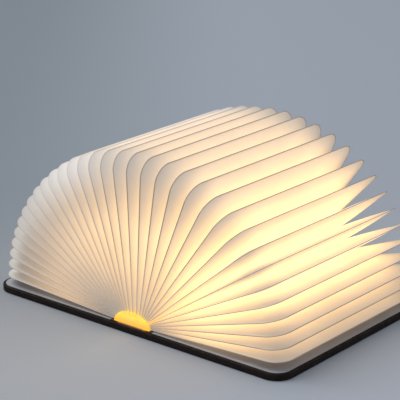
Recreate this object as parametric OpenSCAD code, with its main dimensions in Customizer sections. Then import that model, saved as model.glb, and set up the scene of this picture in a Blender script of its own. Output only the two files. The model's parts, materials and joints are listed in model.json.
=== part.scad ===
// Folding book lamp: a hard case that opens flat, a fan of paper leaves and a light bar in the spine.
// Millimetres. X runs across the two covers, Y along the spine and Z up from the table.

/* [Case] */
// Spine centre to fore-edge of one open cover
case_reach = 90; // [85:1:110]
// Height of the covers, along the spine
case_h = 122; // [116:1:150]
// Corner radius at the fore-edges
case_r = 9; // [4:0.5:14]
// Thickness of the stiff boards
board_t = 2.6; // [2.5:0.1:4]
// Thickness of the leatherette wrapped round the boards
wrap_t = 0.6; // [0.4:0.05:1]
// Thickness of the paper lining inside the covers
lining_t = 0.3; // [0.15:0.05:0.5]
// How far the lining stops short of the cover's edges
lining_inset = 1.5; // [1:0.25:4]
// Distance between the two hinge lines
spine_w = 22.4; // [21.6:0.2:26]
// Gap between spine board and cover board at each hinge line
joint_gap = 0.6; // [0.3:0.1:1.2]
// Width of the flexible strips that bridge each joint
hinge_strip_w = 4; // [3:0.5:5]
// Thickness of the flexible strips
hinge_strip_t = 0.3; // [0.15:0.05:0.5]

/* [Leaves] */
// Length of a leaf from its root to its fore-edge
leaf_l = 77.4; // [68:0.2:78]
// How far the leaves stop short of the case at each end
leaf_inset = 2.5; // [1.5:0.25:5]
// Corner radius of a leaf
leaf_r = 9; // [5:0.5:14]
// Thickness of a leaf's bonded seam
leaf_t = 0.25; // [0.15:0.01:0.28]
// Width of the bonded seam
seam_w = 2.5; // [1.5:0.25:4]
// Thickness of the paper
paper_t = 0.15; // [0.1:0.01:0.2]
// Height of the arch that carries the roots of the leaves
arch_h = 6; // [5:0.25:9]
// Angle of the first leaf from the right cover
fan_first = 2.7; // [2:0.1:8]
// Angle of the last leaf from the right cover
fan_last = 177.2; // [172:0.1:178]

/* [Light bar] */
// Length of the light bar
bar_l = 70; // [60:1:78]
// Height of the tray
tray_h = 5.8; // [5.6:0.1:8]
// Wall of the tray and of the diffuser
bar_wall = 1.2; // [1:0.1:1.6]
// Floor of the tray
tray_floor = 0.8; // [0.6:0.1:1.2]
// Thickness of the circuit boards
circuit_t = 0.8; // [0.6:0.1:1]
// Number of light chips
chip_count = 9; // [3:1:13]
// Side of a light chip
chip_w = 2.8; // [2:0.1:3.5]
// Height of a light chip
chip_h = 0.7; // [0.5:0.1:1]
// Thickness of the battery
battery_t = 3; // [2.5:0.1:3.2]
// Thread diameter of the tray screws
screw_d = 2; // [1.6:0.1:2.4]
// Head diameter of the tray screws
screw_head_d = 3.6; // [3:0.1:4]

/* [Charging] */
// Width of the charging socket
socket_w = 7.6; // [7:0.1:9]
// Depth of the charging socket
socket_l = 5.2; // [5:0.1:7]
// Height of the charging socket
socket_h = 2.4; // [2.2:0.1:2.5]
// Diameter of the charge light's pipe
pipe_d = 1.2; // [1:0.1:1.4]

/* [Magnets] */
// Diameter of the closing magnets
magnet_d = 6; // [4:0.5:8]
// Thickness of the closing magnets
magnet_t = 1.5; // [1:0.1:2]

/* [Hidden] */
// Clearance between pieces that are glued or laid together
fit = 0.05;
// Running clearance between pieces that move past each other
clear = 0.25;
// How far a cut runs past the face that it opens
over = 1;
leaf_count = 33;
right_count = 15;
// Waves that crowd the leaves at both covers and spread them over the right cover, in degrees
fan_waves = [6.4, -5.3, -1.8, -1.0];
// Least step between neighbouring roots round the arch, and the angle of the first root, in degrees
root_step = 4.1;
root_first = 6;
// Fan angle over which the roots spread out at the top of the arch
root_spread = 16;
corner_steps = 5;

// Case
case_t = wrap_t + board_t;
hinge_x = spine_w / 2;
strip_half = hinge_strip_w / 2;
board_x0 = hinge_x + joint_gap / 2;
spine_half = hinge_x - joint_gap / 2;
board_half_h = case_h / 2 - wrap_t - fit;

// Leaves, pleats and the arch of their roots
page_half = case_h / 2 - leaf_inset;
arch_z = case_t + max(lining_t, hinge_strip_t) + fit * 2;
arch_half_w = hinge_x;
// Free length between the light bar's end and the valleys of the pleats
bar_gap = 1.5;
pleat_depth = page_half - bar_l / 2 - bar_gap;
pleat_foot = 5;
valley_r = 4;
// Width of the paper's fold in a valley
fold_w = 0.1;
collar_t = 0.25;

// Light bar, as wide as the space between the two hinge strips
bar_w = spine_w - hinge_strip_w - 2 * clear;
tray_z = case_t;
tray_top = tray_z + tray_h;
led_sink = 1;
led_z = tray_top - led_sink;
ledge_w = 0.9;
bay_x = bar_w / 2 - bar_wall - ledge_w;
bay_y = bar_l / 2 - bar_wall;
led_half_w = bar_w / 2 - bar_wall;
chip_margin = 2;
screw_gap = 0.3;
screw_y = bay_y - screw_head_d / 2 - screw_gap;
screw_head_h = screw_d / 2;
screw_end_gap = 0.4;
screw_l = tray_floor + board_t - screw_end_gap;
screw_slack = 0.5;

// Control board, charging socket and charge light
circuit_y0 = 5;
circuit_margin = 0.8;
circuit_sink = 0.2;
circuit_w = 2 * (bay_x - circuit_margin);
circuit_z = tray_z - circuit_t - circuit_sink;
socket_x = -2;
socket_wall = 0.3;
socket_back = 1;
socket_z = wrap_t + fit;
socket_y0 = case_h / 2 - socket_l;
circuit_y1 = socket_y0 - fit;
pipe_x = 4.4;
pipe_l = 9;
pipe_z = wrap_t + fit + pipe_d / 2;
pocket_margin = 1;

// Battery, between the front screw and the control board
battery_side_gap = 0.3;
battery_end_gap = 0.9;
battery_back_gap = 2;
battery_w = 2 * (bay_x - battery_side_gap);
battery_y0 = battery_end_gap + screw_head_d / 2 - screw_y;
battery_l = circuit_y0 - battery_back_gap - battery_y0;

// Closing magnets, and the magnet and reed switch that turn the light on
magnet_inset_x = 9;
magnet_inset_y = 14;
magnet_x = case_reach - magnet_inset_x;
magnet_y = case_h / 2 - magnet_inset_y;
trigger_d = 4;
trigger_inset = 6;
trigger_x = hinge_x + trigger_inset;
reed_d = 1.8;
reed_l = 10;
reed_x = 4;
reed_y = 18;

function two_digits(i) = i < 10 ? str("0", i) : str(i);
function leaf_name(i) = str("leaf_", two_digits(i));

case_colour = "#21140e";
board_colour = "#8a8378";
paper_colour = "#f6ead2";
lining_colour = "#cfc2b4";

// ---- the fan ----
function tanh(x) = (exp(2 * x) - 1) / (exp(2 * x) + 1);
function along(v) = [cos(v), sin(v)];
function fan_angle(i) = let (v = (i - 1) / (leaf_count - 1))
    fan_first + (fan_last - fan_first) * v
    + fan_waves * [for (n = [1:4]) sin(180 * n * v)];
// Each root sits on the arch; the step between roots grows smoothly towards the top
root_swell = (180 - 2 * root_first - root_step * (leaf_count - 1)) / 2;
function root_angle(i) = root_first + root_step * (i - 1)
    + root_swell * (1 + tanh((fan_angle(i) - 90) / root_spread));
function root(i) = [arch_half_w * cos(root_angle(i)), arch_z + arch_h * sin(root_angle(i))];
// The fore-edge lies where the fan's ray meets a circle of the leaf's length round its root
function tip(i) = let (ray = along(fan_angle(i)), r = root(i) - [0, arch_z], along_ray = ray * r)
    [0, arch_z] + ray * (along_ray + sqrt(leaf_l * leaf_l - r * r + along_ray * along_ray));
function leaf_dir(i) = (tip(i) - root(i)) / leaf_l;
function leaf_angle(i) = atan2(leaf_dir(i)[1], leaf_dir(i)[0]);
function normal(dir) = [-dir[1], dir[0]];

// Corner points of a leaf's outline, offset inwards, from the front fore-edge corner
function corner(inset, r, side) = [for (k = [0:corner_steps - 1])
    let (a = 90 * k / (corner_steps - 1))
    [leaf_l - inset - r + r * (side < 0 ? sin(a) : cos(a)),
     side * (page_half - inset - r + r * (side < 0 ? cos(a) : sin(a)))]];
// The open U of a leaf's edge, from the front root round the fore-edge to the back root
function edge_path(inset, r, foot) = concat(
    [[foot, -(page_half - inset)]], corner(inset, r, -1), corner(inset, r, 1),
    [[foot, page_half - inset]]);

module leaf(i) {
    outer = edge_path(0, leaf_r, 0);
    inner = edge_path(seam_w, leaf_r - seam_w, 0);
    color(paper_colour) translate([root(i)[0], 0, root(i)[1]]) rotate([0, -leaf_angle(i), 0])
        translate([0, 0, -leaf_t / 2]) linear_extrude(leaf_t)
            polygon(concat(outer, [for (k = [len(inner) - 1:-1:0]) inner[k]]));
}

// A point of a leaf's plane, moved off the plane by a small step
function place(base, dir, p, off = 0) = let (q = base + dir * p[0] + normal(dir) * off)
    [q[0], p[1], q[1]];
// Rings of points joined into one closed sheet
module skin(rings) {
    n = len(rings[0]);
    last = len(rings) - 1;
    half = n / 2;
    function quad(a, b, c, d) = [[a, b, c], [a, c, d]];
    sides = [for (s = [0:last - 1], k = [0:n - 1]) let (m = (k + 1) % n)
        each quad(s * n + k, s * n + m, (s + 1) * n + m, (s + 1) * n + k)];
    caps = [for (k = [0:half - 2]) each concat(
        quad(k, n - 1 - k, n - 2 - k, k + 1),
        quad(last * n + k + 1, last * n + n - 2 - k, last * n + n - 1 - k, last * n + k))];
    polyhedron([for (r = rings) each r], concat(sides, caps), convexity = 4);
}

fold_depth = seam_w + fit;
seam_path = edge_path(fold_depth, leaf_r - fold_depth, pleat_foot);
seam_back = edge_path(fold_depth + paper_t, leaf_r - fold_depth - paper_t, pleat_foot);
valley_path = edge_path(pleat_depth, valley_r, pleat_foot);
valley_back = edge_path(pleat_depth + paper_t, valley_r, pleat_foot);
seam_off = leaf_t / 2 + fit;

// Points of the folded sheet at step k along the leaves' edge, on its outer face or its back:
// beside a leaf's seam, in the valley after a leaf, and where the sheet is glued to a lining
function at_seam(i, k, side, back) = place(root(i), leaf_dir(i), (back ? seam_back : seam_path)[k],
    side * (back ? seam_off - paper_t : seam_off));
function at_valley(i, k, side, back) = let (between = leaf_dir(i) + leaf_dir(i + 1))
    place((root(i) + root(i + 1)) / 2, between / norm(between),
        (back ? valley_back : valley_path)[k], side * (fold_w / 2 + (back ? paper_t : 0)));
function at_lining(k, side, back) = [side * (hinge_x + valley_path[k][0]), valley_path[k][1],
    case_t + lining_t + fit + (back ? paper_t : 0)];

// The paper of one side is one sheet: from the middle leaf it dips to a valley between each two
// leaves and crosses the inner edge of each seam, and its end lies on the cover's lining
module folded_sheet(first, last) {
    function row(k, back) = concat(
        first == 1 ? [at_lining(k, 1, back)] : [],
        [for (i = [first:last]) each concat(
            i > first || first == 1 ? [at_seam(i, k, -1, back)] : [],
            i < last || last == leaf_count ? [at_seam(i, k, 1, back)] : [],
            i < last ? [at_valley(i, k, -1, back), at_valley(i, k, 1, back)] : [])],
        last == leaf_count ? [at_lining(k, -1, back)] : []);
    function backwards(points) = [for (j = [len(points) - 1:-1:0]) points[j]];
    // Each ring starts at the middle leaf
    skin([for (k = [0:len(seam_path) - 1]) first == 1
        ? concat(backwards(row(k, true)), row(k, false))
        : concat(row(k, false), backwards(row(k, true)))]);
}

module right_pleats() color(paper_colour) folded_sheet(1, right_count + 1);
module left_pleats() color(paper_colour) folded_sheet(right_count + 1, leaf_count);

// ---- the arch under the roots ----
function half_ellipse(a, b, steps = 24) =
    [for (k = [0:steps]) [a * cos(180 * k / steps), b * sin(180 * k / steps)]];
module collar_profile() {
    outer = half_ellipse(arch_half_w - clear, arch_h - clear);
    inner = half_ellipse(arch_half_w - clear - collar_t, arch_h - clear - collar_t);
    polygon(concat(outer, [for (k = [len(inner) - 1:-1:0]) inner[k]]));
}
module root_collars() color("#e9a53a")
    for (side = [-1, 1])
        translate([0, side * (page_half - pleat_depth / 2) + pleat_depth / 2, arch_z])
            rotate([90, 0, 0]) linear_extrude(pleat_depth) collar_profile();

// ---- the case ----
// A cover's outline, square at the hinge and rounded at the fore-edge
module cover_outline(x0, x1, half_h, r) {
    translate([x0, -half_h]) square([x1 - x0 - r, 2 * half_h]);
    translate([x1 - r - fit, -half_h + r]) square([r + fit, 2 * (half_h - r)]);
    for (side = [-1, 1]) translate([x1 - r, side * (half_h - r)]) circle(r, $fn = 64);
}
module cover_board() difference() {
    translate([0, 0, wrap_t]) linear_extrude(board_t)
        cover_outline(board_x0, case_reach - wrap_t - fit, board_half_h, case_r - wrap_t);
    for (side = [-1, 1]) translate([magnet_x, side * magnet_y, case_t - magnet_t - fit])
        cylinder(h = magnet_t + over, d = magnet_d + 2 * fit, $fn = 48);
}

module right_cover_board() color(board_colour) difference() {
    cover_board();
    translate([trigger_x, reed_y, case_t - magnet_t - fit])
        cylinder(h = magnet_t + over, d = trigger_d + 2 * fit, $fn = 48);
}
module left_cover_board() color(board_colour) mirror([1, 0, 0]) cover_board();
module cover_wrap() difference() {
    linear_extrude(case_t) cover_outline(board_x0, case_reach, case_h / 2, case_r);
    translate([0, 0, wrap_t]) linear_extrude(board_t + over)
        cover_outline(0, case_reach - wrap_t, case_h / 2 - wrap_t, case_r - wrap_t);
    // the bridging strip carries on the wrap's underside up to the joint
    translate([0, -case_h, -over]) cube([hinge_x + strip_half, 2 * case_h, over + wrap_t]);
}
module right_cover_wrap() color(case_colour) cover_wrap();
module left_cover_wrap() color(case_colour) mirror([1, 0, 0]) cover_wrap();
module cover_lining() translate([0, 0, case_t]) linear_extrude(lining_t)
    cover_outline(hinge_x + strip_half + fit, case_reach - lining_inset, case_h / 2 - lining_inset,
                  case_r - lining_inset);
module right_lining() color(lining_colour) cover_lining();
module left_lining() color(lining_colour) mirror([1, 0, 0]) cover_lining();

module magnets() for (side = [-1, 1])
    translate([magnet_x, side * magnet_y, case_t - magnet_t])
        cylinder(h = magnet_t, d = magnet_d, $fn = 48);
module right_magnets() color("silver") magnets();
module left_magnets() color("silver") mirror([1, 0, 0]) magnets();
module trigger_magnet() color("silver")
    translate([trigger_x, reed_y, case_t - magnet_t]) cylinder(h = magnet_t, d = trigger_d, $fn = 48);

module spine_board() color(board_colour) difference() {
    translate([-spine_half, -board_half_h, wrap_t]) cube([2 * spine_half, 2 * board_half_h, board_t]);
    // recess for the control board, and the deeper pocket for the socket
    translate([-circuit_w / 2 - fit, circuit_y0 - fit, circuit_z])
        cube([circuit_w + 2 * fit, case_h, case_t]);
    translate([-circuit_w / 2 - fit, case_h / 2 - pipe_l - pocket_margin, 0])
        cube([circuit_w + 2 * fit, case_h, case_t]);
    for (side = [-1, 1]) translate([0, side * screw_y, 0])
        cylinder(h = case_t + over, d = screw_d + 2 * fit, $fn = 32);
}
module spine_wrap() color(case_colour) difference() {
    translate([-spine_half, -case_h / 2, 0]) cube([2 * spine_half, case_h, case_t]);
    translate([-hinge_x, -case_h / 2 + wrap_t, wrap_t]) cube([2 * hinge_x, case_h - 2 * wrap_t, case_t]);
    // the bridging strips carry on the wrap's underside up to the joints
    for (side = [-1, 1]) translate([side * hinge_x - strip_half, -case_h, -over])
        cube([2 * strip_half, 2 * case_h, over + wrap_t]);
    translate([socket_x - socket_w / 2 - fit, 0, socket_z - fit])
        cube([socket_w + 2 * fit, case_h, case_t]);
    translate([pipe_x, case_h / 2 - wrap_t - over, pipe_z]) rotate([-90, 0, 0])
        cylinder(h = wrap_t + 2 * over, d = pipe_d + 2 * fit, $fn = 24);
}

// Outer leatherette strip under each joint and inner cloth strip over it
module hinge_strips() translate([hinge_x - strip_half + fit, 0, 0]) {
    w = hinge_strip_w - 2 * fit;
    translate([0, -case_h / 2, 0]) cube([w, case_h, wrap_t - fit]);
    translate([0, -case_h / 2 + lining_inset, case_t + fit])
        cube([w, case_h - 2 * lining_inset, hinge_strip_t]);
}
module right_hinge_strips() color(case_colour) hinge_strips();
module left_hinge_strips() color(case_colour) mirror([1, 0, 0]) hinge_strips();

// ---- the light bar ----
module light_tray() color("#e8e6e0") difference() {
    translate([-bar_w / 2, -bar_l / 2, tray_z]) cube([bar_w, bar_l, tray_h]);
    translate([-bay_x, -bay_y, tray_z + tray_floor]) cube([2 * bay_x, 2 * bay_y, tray_h]);
    translate([-led_half_w, -bay_y, led_z]) cube([2 * led_half_w, 2 * bay_y, tray_h]);
    // window over the control board
    translate([-circuit_w / 2, circuit_y0, 0])
        cube([circuit_w, screw_y - screw_head_d - circuit_y0, 2 * tray_z]);
    for (side = [-1, 1]) translate([0, side * screw_y, 0])
        cylinder(h = 2 * tray_z, d = screw_d + 4 * fit, $fn = 32);
}
module tray_screws() color("silver") for (side = [-1, 1])
    translate([0, side * screw_y, tray_z + tray_floor]) {
        cylinder(h = screw_head_h, d = screw_head_d, $fn = 32);
        translate([0, 0, -screw_l]) cylinder(h = screw_l, d = screw_d, $fn = 32);
    }
module battery() color("#c9ccd0")
    translate([-battery_w / 2, battery_y0, tray_z + tray_floor]) cube([battery_w, battery_l, battery_t]);
module control_board() color("#1f6b3a") difference() {
    translate([-circuit_w / 2, circuit_y0, circuit_z])
        cube([circuit_w, circuit_y1 - circuit_y0, circuit_t]);
    translate([0, screw_y, 0]) cylinder(h = case_t * 2, d = screw_d + 2 * screw_slack, $fn = 32);
}
module usb_socket() color("silver") difference() {
    translate([socket_x - socket_w / 2, socket_y0, socket_z]) cube([socket_w, socket_l, socket_h]);
    translate([socket_x - socket_w / 2 + socket_wall, socket_y0 + socket_back, socket_z + socket_wall])
        cube([socket_w - 2 * socket_wall, socket_l, socket_h - 2 * socket_wall]);
}
module charge_light_pipe() color([0.9, 0.95, 1, 0.6])
    translate([pipe_x, case_h / 2 - pipe_l, pipe_z]) rotate([-90, 0, 0])
        cylinder(h = pipe_l, d = pipe_d, $fn = 24);
module reed_switch() color("#9fb8a6")
    translate([reed_x, reed_y - reed_l / 2, circuit_z + circuit_t + reed_d / 2])
        rotate([-90, 0, 0]) cylinder(h = reed_l, d = reed_d, $fn = 24);
module led_board() color("white")
    translate([-led_half_w + fit, -bay_y + fit, led_z])
        cube([2 * (led_half_w - fit), 2 * (bay_y - fit), circuit_t]);
module led_chips() color("#ffd98a") {
    pitch = (2 * (bay_y - chip_margin) - chip_w) / (chip_count - 1);
    for (k = [0:chip_count - 1])
        translate([-chip_w / 2, -bay_y + chip_margin + k * pitch, led_z + circuit_t])
            cube([chip_w, chip_w, chip_h]);
}
module diffuser() color("#ffcf6b") {
    r = bar_w / 2;
    translate([0, bar_l / 2, tray_top]) rotate([90, 0, 0]) difference() {
        linear_extrude(bar_l) intersection() {
            circle(r, $fn = 96);
            translate([-r, 0]) square([2 * r, r]);
        }
        translate([0, 0, bar_wall]) linear_extrude(bar_l - 2 * bar_wall) circle(r - bar_wall, $fn = 96);
    }
}

spine_board();
spine_wrap();
right_cover_board();
right_cover_wrap();
right_lining();
right_magnets();
trigger_magnet();
left_cover_board();
left_cover_wrap();
left_lining();
left_magnets();
right_hinge_strips();
left_hinge_strips();
light_tray();
tray_screws();
battery();
control_board();
usb_socket();
charge_light_pipe();
reed_switch();
led_board();
led_chips();
diffuser();
root_collars();
right_pleats();
left_pleats();
for (i = [1:leaf_count]) leaf(i);
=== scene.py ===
# %% [markdown]
# # Folding book lamp
# A hard case lies open like a book. Thirty-three paper leaves fan out of its spine in a half
# circle, joined into one folded sheet, and a light bar in the spine makes them glow. The solid
# model gives every place and size. The folds could be sculpted over it, but all of them follow
# one rule, so folds, leatherette and glowing arch are worked out with numpy.

# %% Load the frame
import json
import math

import bpy
import bmesh
import numpy as np
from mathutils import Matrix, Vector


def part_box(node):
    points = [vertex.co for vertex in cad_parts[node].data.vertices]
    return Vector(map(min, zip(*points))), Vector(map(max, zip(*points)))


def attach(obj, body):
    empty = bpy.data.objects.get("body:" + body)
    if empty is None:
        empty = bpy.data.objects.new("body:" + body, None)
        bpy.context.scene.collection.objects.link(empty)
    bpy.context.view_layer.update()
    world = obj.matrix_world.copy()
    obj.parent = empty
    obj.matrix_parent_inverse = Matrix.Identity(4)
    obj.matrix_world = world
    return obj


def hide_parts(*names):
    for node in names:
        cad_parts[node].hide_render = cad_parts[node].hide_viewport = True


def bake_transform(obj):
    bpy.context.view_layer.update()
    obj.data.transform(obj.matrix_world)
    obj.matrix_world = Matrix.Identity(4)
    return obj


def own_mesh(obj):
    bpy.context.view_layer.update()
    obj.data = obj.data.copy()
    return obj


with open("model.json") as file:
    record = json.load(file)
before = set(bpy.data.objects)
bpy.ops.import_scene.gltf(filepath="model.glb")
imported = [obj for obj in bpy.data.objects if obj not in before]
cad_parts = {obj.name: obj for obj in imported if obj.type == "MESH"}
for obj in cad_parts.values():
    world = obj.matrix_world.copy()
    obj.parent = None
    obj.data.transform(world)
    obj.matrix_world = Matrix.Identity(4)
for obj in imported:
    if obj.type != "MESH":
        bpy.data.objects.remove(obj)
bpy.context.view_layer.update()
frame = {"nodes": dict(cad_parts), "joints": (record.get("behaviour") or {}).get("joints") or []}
MM = 0.001
joints = {joint["name"]: joint for joint in frame["joints"]}

# %% [markdown]
# ## Camera
# A long lens a little under a metre away looks down on the front right corner of the open
# lamp. It could follow a target, but a fixed place and two angles say the same in three plain
# values. The camera comes first, so that every later step can be seen as it is made.

# %% Camera
CAMERA_PLACE = (0.4983, -0.6125, 0.3185)
CAMERA_AZIMUTH = math.radians(39.49)
CAMERA_ELEVATION = math.radians(18.71)
SENSOR_WIDTH = 36
LENS_LENGTH = 152.8


def new_object(name, data):
    """An object made of mesh, camera or light data, linked to the scene."""
    thing = bpy.data.objects.new(name, data)
    bpy.context.scene.collection.objects.link(thing)
    return thing


camera_data = bpy.data.cameras.new("camera")
camera_data.sensor_width = SENSOR_WIDTH
camera_data.lens = LENS_LENGTH
camera = new_object("camera", camera_data)
camera.location = CAMERA_PLACE
camera.rotation_euler = (math.pi / 2 - CAMERA_ELEVATION, 0, CAMERA_AZIMUTH)
bpy.context.scene.camera = camera
print("camera looks down by", round(math.degrees(CAMERA_ELEVATION), 1), "degrees")

# %% [markdown]
# ## Sizes read from the frame
# The sizes could be typed in again, but then they would drift from the solids, so they are
# measured. A leaf's node is a thin flat U, so the longest direction of its points in the XZ
# plane is the leaf's own direction, and its two ends are root and fore-edge.

# %% Leaves
def mesh_points(mesh):
    """All points of a mesh as one array."""
    flat = np.zeros(len(mesh.vertices) * 3)
    mesh.vertices.foreach_get("co", flat)
    return flat.reshape(-1, 3)


def leaf_line(name):
    """Root, direction and length of a leaf in XZ: the main axis of its points, with the root at the
    end nearest the spine."""
    flat = mesh_points(frame["nodes"][name].data)[:, [0, 2]]
    middle = (flat.min(0) + flat.max(0)) / 2
    _, _, axes = np.linalg.svd(flat - middle, full_matrices=False)
    direction = axes[0] if axes[0] @ middle > 0 else -axes[0]
    along = flat @ direction
    root = flat[along < along.min() + 0.1 * MM].mean(0)
    return root, direction, along.max() - along.min()


LEAVES = sorted(name for name in frame["nodes"] if name.startswith("leaf_"))
leaf_roots, leaf_dirs, leaf_lengths = (np.array(part) for part in zip(*map(leaf_line, LEAVES)))
LEAF_LENGTH = float(leaf_lengths.mean())
RIGHT_LEAVES = sum(joints[name + "_fold"]["axis"][1] < 0 for name in LEAVES)
print("leaves", len(LEAVES), "of", round(LEAF_LENGTH / MM, 1), "mm, right side", RIGHT_LEAVES)

# %% [markdown]
# ## Case and paper
# The case, the bar and the arch come from the corners of their boxes in the same way. Only
# the sizes that no box shows are plain values: seam, corner radii and the paper's thickness.

# %% Case and paper
page_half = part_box(LEAVES[0])[1].y
case_reach, case_half, case_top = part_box("right_cover_wrap")[1]
bar_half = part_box("diffuser")[1].y
hinge_x = joints["right_cover_hinge"]["pos_m"][0]
joint_half = (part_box("right_hinge_strips")[1].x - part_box("right_hinge_strips")[0].x) / 2
lining_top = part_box("right_lining")[1].z
lining_inset = case_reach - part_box("right_lining")[1].x
arch_low, arch_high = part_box("root_collars")
FIT = 0.05 * MM
BAR_GAP = 1.5 * MM
PLEAT_DEPTH = page_half - bar_half - BAR_GAP
LEAF_RADIUS = 9 * MM
SEAM_WIDTH = 2.5 * MM
VALLEY_RADIUS = 4 * MM
SHEET = 0.12 * MM
print("pleats", round(PLEAT_DEPTH / MM, 1), "mm deep, paper", round(SHEET / MM, 2), "mm thick")

# %% [markdown]
# ## The closed stack
# When the covers shut, the leaves gather into an even stack. Its pitch could be guessed, but
# the joints hold it: turning a leaf's root about its joint's pivot shows where it ends.

# %% Closed pitch
def closed_root(number):
    """Where a leaf's root lies in the closed stack: its place turned about the joint's pivot."""
    joint = joints[LEAVES[number] + "_fold"]
    pivot = np.array(joint["pos_m"])[[0, 2]]
    turn = -joint["axis"][1] * math.radians(joint["range_deg"][1])
    c, s = math.cos(turn), math.sin(turn)
    arm = leaf_roots[number] - pivot
    return pivot + np.array([c * arm[0] - s * arm[1], s * arm[0] + c * arm[1]])


closed_pitch = abs(closed_root(0)[0] - closed_root(len(LEAVES) - 1)[0]) / (len(LEAVES) - 1)
print("closed pitch", round(closed_pitch / MM, 2), "mm")

# %% [markdown]
# ## Closed skins
# Paper, leatherette and cloth are thin, but never without thickness. A modifier could thicken
# a surface, but a closed skin leaves no doubt where its inner side lies. It runs through rings
# of points: each ring is one array and the faces come from an index grid, so no loop runs
# over points. Half of a ring is the outer side and half the inner side, so a strip of quads
# closes each end. The corner products of all faces add up to six times the volume: if the
# sum is negative the skin is inside out, and all faces are turned round.

# %% Skin helper
def ring_grid(x, y, z):
    """Rings from three arrays of coordinates, each stretched to their common shape."""
    return np.stack(np.broadcast_arrays(x, y, z), -1)


def shell(name, rings, gap=None, **masks):
    """Closed skin through rings, an array of shape (rings, points, 3).

    gap leaves out the quads after that point of a ring. Each mask is an array of shape
    (rings, points), kept as a point attribute.
    """
    count, n = rings.shape[:2]
    index = np.arange(count * n).reshape(count, n)
    here, there = index[:-1], index[1:]
    sides = np.stack([here, np.roll(here, -1, 1), np.roll(there, -1, 1), there], -1)
    if gap is not None:
        sides = np.delete(sides, gap, axis=1)
    faces = [sides.reshape(-1, 4)]
    k = np.arange(n // 2 - 1)
    for ring, turn in ((index[0], 1), (index[-1], -1)):
        cap = np.stack([ring[k], ring[n - 1 - k], ring[n - 2 - k], ring[k + 1]], -1)
        faces.append(cap[:, ::turn])
    faces = np.concatenate(faces)
    points = rings.reshape(-1, 3)
    a, b, c, d = (points[faces[:, corner]] for corner in range(4))
    volume = (np.cross(a, b) * c).sum() + (np.cross(a, c) * d).sum()
    if volume < 0:
        faces = faces[:, ::-1]
    mesh = bpy.data.meshes.new(name)
    mesh.from_pydata(points.tolist(), [], faces.tolist())
    mesh.polygons.foreach_set("use_smooth", np.ones(len(faces), bool))
    for mask, values in masks.items():
        attribute = mesh.attributes.new(mask, "FLOAT", "POINT")
        attribute.data.foreach_set("value", values.ravel().astype(np.float32))
    return mesh


print("two rings of four points have the shape", ring_grid(np.zeros((2, 1)), np.zeros(4), 0.0).shape)

# %% [markdown]
# ## Pieces
# Where a corner shrinks to a point, points of a skin fall together and are merged, so that no
# empty faces remain. A finished mesh becomes a named piece with its material. Shading could
# be flat or smooth all over, but paper needs both: smooth, with crisp edges at sharp turns.

# %% Piece helpers
DOUBLES = 0.002 * MM


def mesh_from(work, name):
    """Turns a bmesh into a mesh and frees it."""
    mesh = bpy.data.meshes.new(name)
    work.to_mesh(mesh)
    work.free()
    return mesh


def joined(name, meshes):
    """Several skins as one mesh, with doubles merged and empty faces dropped."""
    work = bmesh.new()
    for mesh in meshes:
        work.from_mesh(mesh)
        bpy.data.meshes.remove(mesh)
    bmesh.ops.remove_doubles(work, verts=work.verts, dist=DOUBLES)
    bmesh.ops.dissolve_degenerate(work, edges=work.edges, dist=DOUBLES)
    return mesh_from(work, name)


def place_piece(name, mesh, material, sharp=40):
    """Links a finished mesh as a piece, with its material, its slot and a crisp edge where it turns
    by more than the angle sharp, in degrees."""
    mesh.name = name
    piece = new_object(name, mesh)
    mesh.materials.append(material)
    mesh.set_sharp_from_angle(angle=math.radians(sharp))
    return piece


print("points nearer than", round(DOUBLES / MM, 3), "mm are merged")

# %% [markdown]
# ## Node helpers
# A material is a graph of nodes. It could be wired one node at a time, but the wiring would
# hide the idea. Each helper adds one node and gives back its output, so that a finish reads
# like a formula.

# %% Node helpers
def socket_math(tree, operation, *values):
    """One math node: sockets are linked, numbers are set."""
    node = tree.nodes.new("ShaderNodeMath")
    node.operation = operation
    for slot, value in enumerate(values):
        connect(tree, value, node.inputs[slot])
    return node.outputs[0]


def connect(tree, value, target):
    """Links a socket, or sets a plain value."""
    if isinstance(value, bpy.types.NodeSocket):
        tree.links.new(value, target)
    else:
        target.default_value = value


def noise(tree, vector, scale, detail=3, rough=0.5):
    """A noise texture's grey value."""
    node = tree.nodes.new("ShaderNodeTexNoise")
    tree.links.new(vector, node.inputs["Vector"])
    connect(tree, scale, node.inputs["Scale"])
    node.inputs["Detail"].default_value = detail
    node.inputs["Roughness"].default_value = rough
    return node.outputs["Fac"]


def coordinates(tree, vector):
    """The vector's X, Y and Z."""
    node = tree.nodes.new("ShaderNodeSeparateXYZ")
    tree.links.new(vector, node.inputs[0])
    return node.outputs


def stretched(tree, vector, factors):
    """The vector with each axis multiplied by its factor, which draws a pattern out along an axis."""
    node = tree.nodes.new("ShaderNodeVectorMath")
    node.operation = "MULTIPLY"
    tree.links.new(vector, node.inputs[0])
    node.inputs[1].default_value = factors
    return node.outputs[0]


def span(tree, value, low, high, new_low=0.0, new_high=1.0):
    """Maps low..high to new_low..new_high, smoothly and clamped."""
    node = tree.nodes.new("ShaderNodeMapRange")
    node.interpolation_type = "SMOOTHSTEP"
    for name, given in (("Value", value), ("From Min", low), ("From Max", high),
                        ("To Min", new_low), ("To Max", new_high)):
        connect(tree, given, node.inputs[name])
    return node.outputs[0]


def mixed(tree, share, first, second, blend="MIX"):
    """A colour between first and second, or their sum where blend is ADD and the share 1."""
    node = tree.nodes.new("ShaderNodeMix")
    node.data_type = "RGBA"
    node.blend_type = blend
    connect(tree, share, node.inputs["Factor"])
    for name, colour in (("A", first), ("B", second)):
        target = next(s for s in node.inputs if s.name == name and s.type == "RGBA")
        connect(tree, colour if isinstance(colour, bpy.types.NodeSocket) else (*colour, 1), target)
    return next(s for s in node.outputs if s.type == "RGBA")


print("node helpers: number, noise, coordinates, stretched vector, span and mixed colour")

# %% [markdown]
# ## Groups
# Some effects come back in several finishes. They could be copied into every material, but a
# node group with named inputs is made once. A group gives out only colours, masks and
# heights; the Principled shader stays in the material.

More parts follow.
